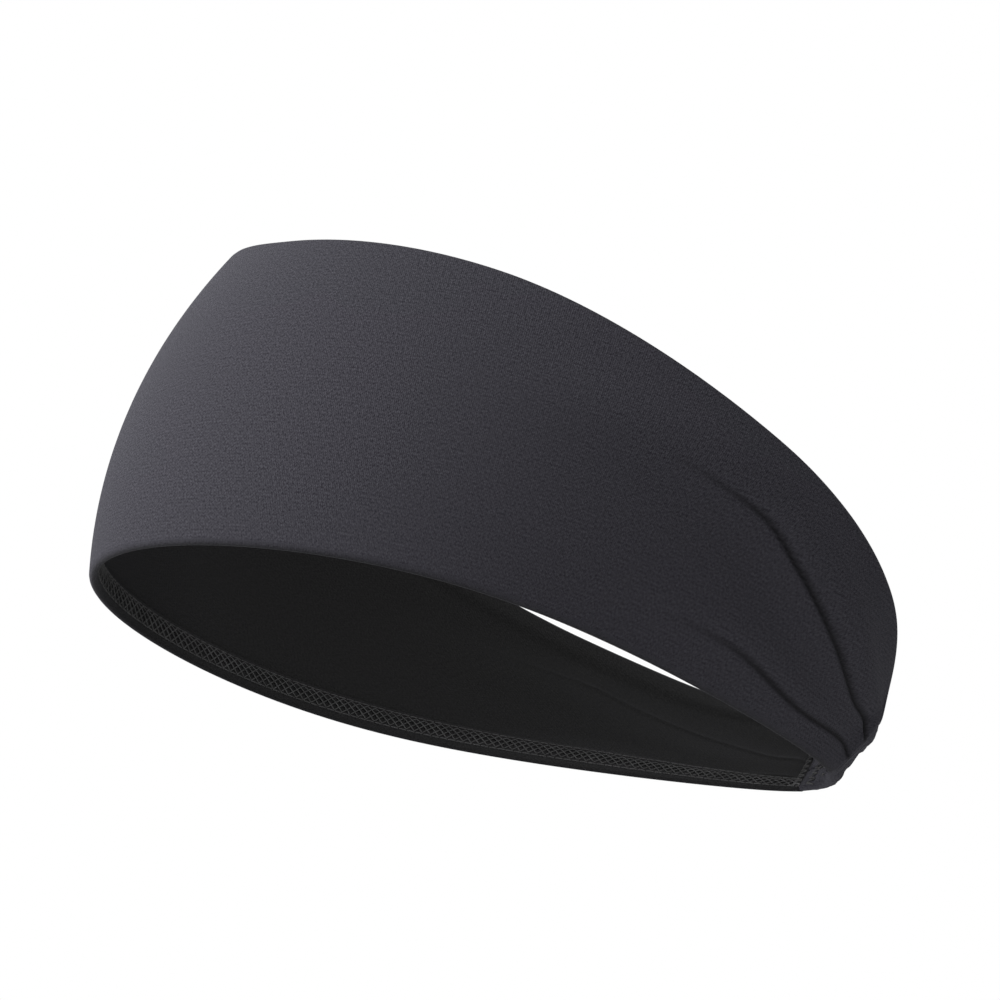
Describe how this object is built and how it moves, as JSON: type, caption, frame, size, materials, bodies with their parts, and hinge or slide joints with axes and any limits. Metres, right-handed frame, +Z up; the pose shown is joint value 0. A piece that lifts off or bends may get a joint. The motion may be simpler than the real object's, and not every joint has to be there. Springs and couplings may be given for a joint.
{
  "type": "sports headband",
  "caption": "Wide knitted sports headband, standing open as worn, tapering from the forehead to a narrow gathered elastic strap at the nape.",
  "frame": {"origin": "middle of the band's box at the lower edge it stands on", "axes": "+Z up, forehead faces -Y, nape strap faces +Y, wearer's sides face -X and +X"},
  "size_m": [0.172, 0.2156, 0.095],
  "materials": {
    "knit_fabric": "matt charcoal single knit",
    "elastic": "black woven elastic",
    "sewing_thread": "black polyester sewing thread"
  },
  "bodies": {
    "root": {"main_panel": "knit_fabric", "nape_casing": "knit_fabric", "nape_elastic": "elastic", "hem_edge_needle_thread": "sewing_thread", "hem_inner_needle_thread": "sewing_thread", "hem_looper_thread": "sewing_thread", "casing_seam_thread": "sewing_thread", "right_joining_seam_thread": "sewing_thread", "right_elastic_tack_thread": "sewing_thread", "left_joining_seam_thread": "sewing_thread", "left_elastic_tack_thread": "sewing_thread"}
  },
  "joints": []
}
